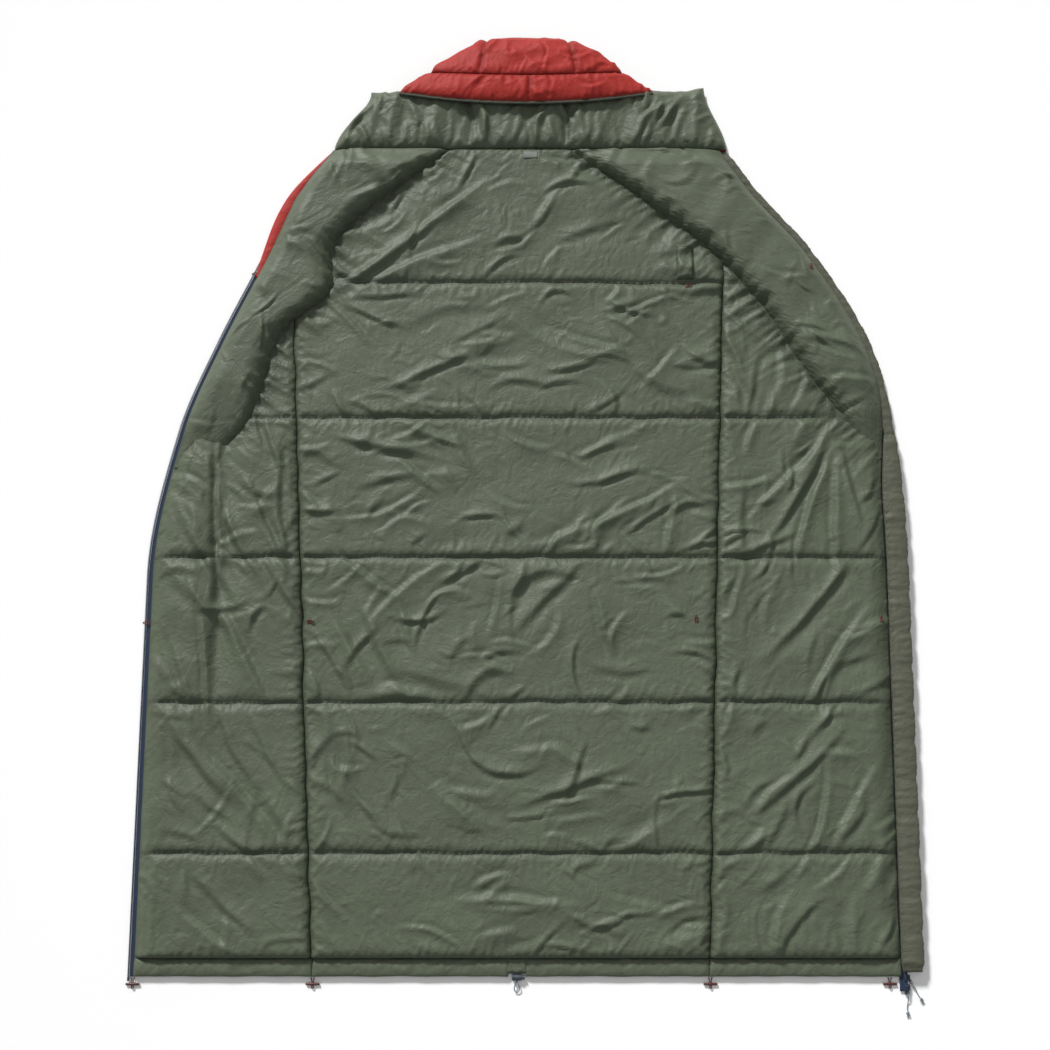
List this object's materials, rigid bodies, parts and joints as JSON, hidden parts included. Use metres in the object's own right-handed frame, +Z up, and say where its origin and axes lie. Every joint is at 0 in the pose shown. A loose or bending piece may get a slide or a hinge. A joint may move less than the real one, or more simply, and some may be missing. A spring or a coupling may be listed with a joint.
{
  "type": "sleeping bag",
  "caption": "Hooded quilted sleeping bag with a centre zip, opened out flat with its lining up; fronts fold over, hood lifts, zip sliders run and hem toggles turn.",
  "frame": {"origin": "middle of the bag's footprint on the surface it lies on", "axes": "+X to the right with the hood away from the viewer, +Y from the foot hem to the hood, +Z up, out of the lining"},
  "size_m": [1.5873, 2.0844, 0.082],
  "materials": {
    "shell_nylon": "brick red plain-weave nylon, slight sheen",
    "lining_nylon": "dark olive green satin nylon",
    "insulation": "white polyester batting",
    "zip_tape": "navy woven tape",
    "zip_coil": "navy nylon coil",
    "zip_hardware": "navy enamel",
    "pull_cord": "grey-blue braided cord",
    "toggle_cord": "red-brown braided cord",
    "toggle_bar": "dark brown moulded",
    "cord_lock": "dark blue-grey moulded",
    "lock_spring": "spring steel",
    "binding": "grey-green bias binding",
    "label": "plain woven label, blank"
  },
  "bodies": {
    "back": {"back_shell": "shell_nylon", "back_insulation": "insulation", "back_lining": "lining_nylon", "left_shoulder_baffle": "lining_nylon", "right_shoulder_baffle": "lining_nylon", "back_hem_left": "lining_nylon", "back_hem_right": "lining_nylon", "hem_drawcord": "pull_cord", "cord_lock_body": "cord_lock", "cord_lock_spring": "lock_spring", "toggle_loop_2": "toggle_cord", "toggle_loop_3": "toggle_cord", "toggle_loop_6": "toggle_cord", "stash_pocket": "lining_nylon", "neck_label": "label"},
    "left_front": {"left_front_shell": "shell_nylon", "left_front_insulation": "insulation", "left_front_lining": "lining_nylon", "left_front_baffle": "lining_nylon", "left_front_hem": "lining_nylon", "left_zip_tape": "zip_tape", "left_zip_coil": "zip_coil", "left_zip_pin": "zip_hardware", "toggle_loop_1": "toggle_cord", "toggle_loop_5": "toggle_cord"},
    "right_front": {"right_front_shell": "shell_nylon", "right_front_insulation": "insulation", "right_front_lining": "lining_nylon", "right_front_baffle": "lining_nylon", "right_front_hem": "lining_nylon", "right_zip_tape": "zip_tape", "right_zip_coil": "zip_coil", "right_zip_box": "zip_hardware", "draft_tube": "lining_nylon", "toggle_loop_4": "toggle_cord", "toggle_loop_7": "toggle_cord"},
    "hood": {"hood_shell": "shell_nylon", "hood_insulation": "insulation", "hood_lining": "lining_nylon", "hood_rim_binding": "binding", "hood_brow_band": "shell_nylon", "hood_crown": "shell_nylon"},
    "upper_slider": {"upper_slider": "zip_hardware"},
    "upper_pull": {"upper_pull_tab": "zip_hardware", "upper_pull_cord": "pull_cord", "upper_pull_knot": "pull_cord"},
    "lower_slider": {"lower_slider": "zip_hardware"},
    "lower_pull": {"lower_pull_tab": "zip_hardware", "lower_pull_cord": "pull_cord", "lower_pull_knot": "pull_cord"},
    "cord_lock_button": {"cord_lock_button": "cord_lock"},
    "toggle_1": {"toggle_bar_1": "toggle_bar", "toggle_cord_1": "toggle_cord"},
    "toggle_2": {"toggle_bar_2": "toggle_bar", "toggle_cord_2": "toggle_cord"},
    "toggle_3": {"toggle_bar_3": "toggle_bar", "toggle_cord_3": "toggle_cord"},
    "toggle_4": {"toggle_bar_4": "toggle_bar", "toggle_cord_4": "toggle_cord"}
  },
  "joints": [
    {"name": "left_front_fold", "type": "hinge", "parent": "back", "child": "left_front", "pos_m": [-0.4241, -0.98975, 0.05], "axis": [-0.0563, 0.9984, 0], "range_deg": [0, 180]},
    {"name": "right_front_fold", "type": "hinge", "parent": "back", "child": "right_front", "pos_m": [0.3599, -0.98975, 0.05], "axis": [-0.0434, -0.9991, 0], "range_deg": [0, 180]},
    {"name": "hood_lift", "type": "hinge", "parent": "back", "child": "hood", "pos_m": [0.0059, 0.75825, 0.05], "axis": [1, 0, 0], "range_deg": [0, 75]},
    {"name": "upper_slider_run", "type": "slide", "parent": "right_front", "child": "upper_slider", "axis": [0.0112, 0.9999, 0], "range_m": [0, 0.66]},
    {"name": "lower_slider_run", "type": "slide", "parent": "right_front", "child": "lower_slider", "axis": [0.0112, 0.9999, 0], "range_m": [0, 0.005]},
    {"name": "upper_pull_swing", "type": "hinge", "parent": "upper_slider", "child": "upper_pull", "pos_m": [0.75117, -0.98925, 0.0091], "axis": [0, 0, 1], "range_deg": [0, 50]},
    {"name": "lower_pull_lift", "type": "hinge", "parent": "lower_slider", "child": "lower_pull", "pos_m": [0.75097, -1.00725, 0.0091], "axis": [-1, 0, 0], "range_deg": [0, 110]},
    {"name": "cord_lock_press", "type": "slide", "parent": "back", "child": "cord_lock_button", "axis": [-1, 0, 0], "range_m": [0, 0.0018], "stiffness_N_per_m": 250, "springref_m": -0.002, "deforming": ["cord_lock_spring"]},
    {"name": "toggle_1_lift", "type": "hinge", "parent": "left_front", "child": "toggle_1", "pos_m": [-0.7801, -0.99135, 0.0032], "axis": [-1, 0, 0], "range_deg": [0, 80]},
    {"name": "toggle_2_lift", "type": "hinge", "parent": "back", "child": "toggle_2", "pos_m": [-0.4241, -0.99135, 0.0032], "axis": [-1, 0, 0], "range_deg": [0, 80]},
    {"name": "toggle_3_lift", "type": "hinge", "parent": "back", "child": "toggle_3", "pos_m": [0.3629, -0.99135, 0.0032], "axis": [-1, 0, 0], "range_deg": [0, 80]},
    {"name": "toggle_4_lift", "type": "hinge", "parent": "right_front", "child": "toggle_4", "pos_m": [0.7179, -0.99135, 0.0032], "axis": [-1, 0, 0], "range_deg": [0, 80]}
  ]
}
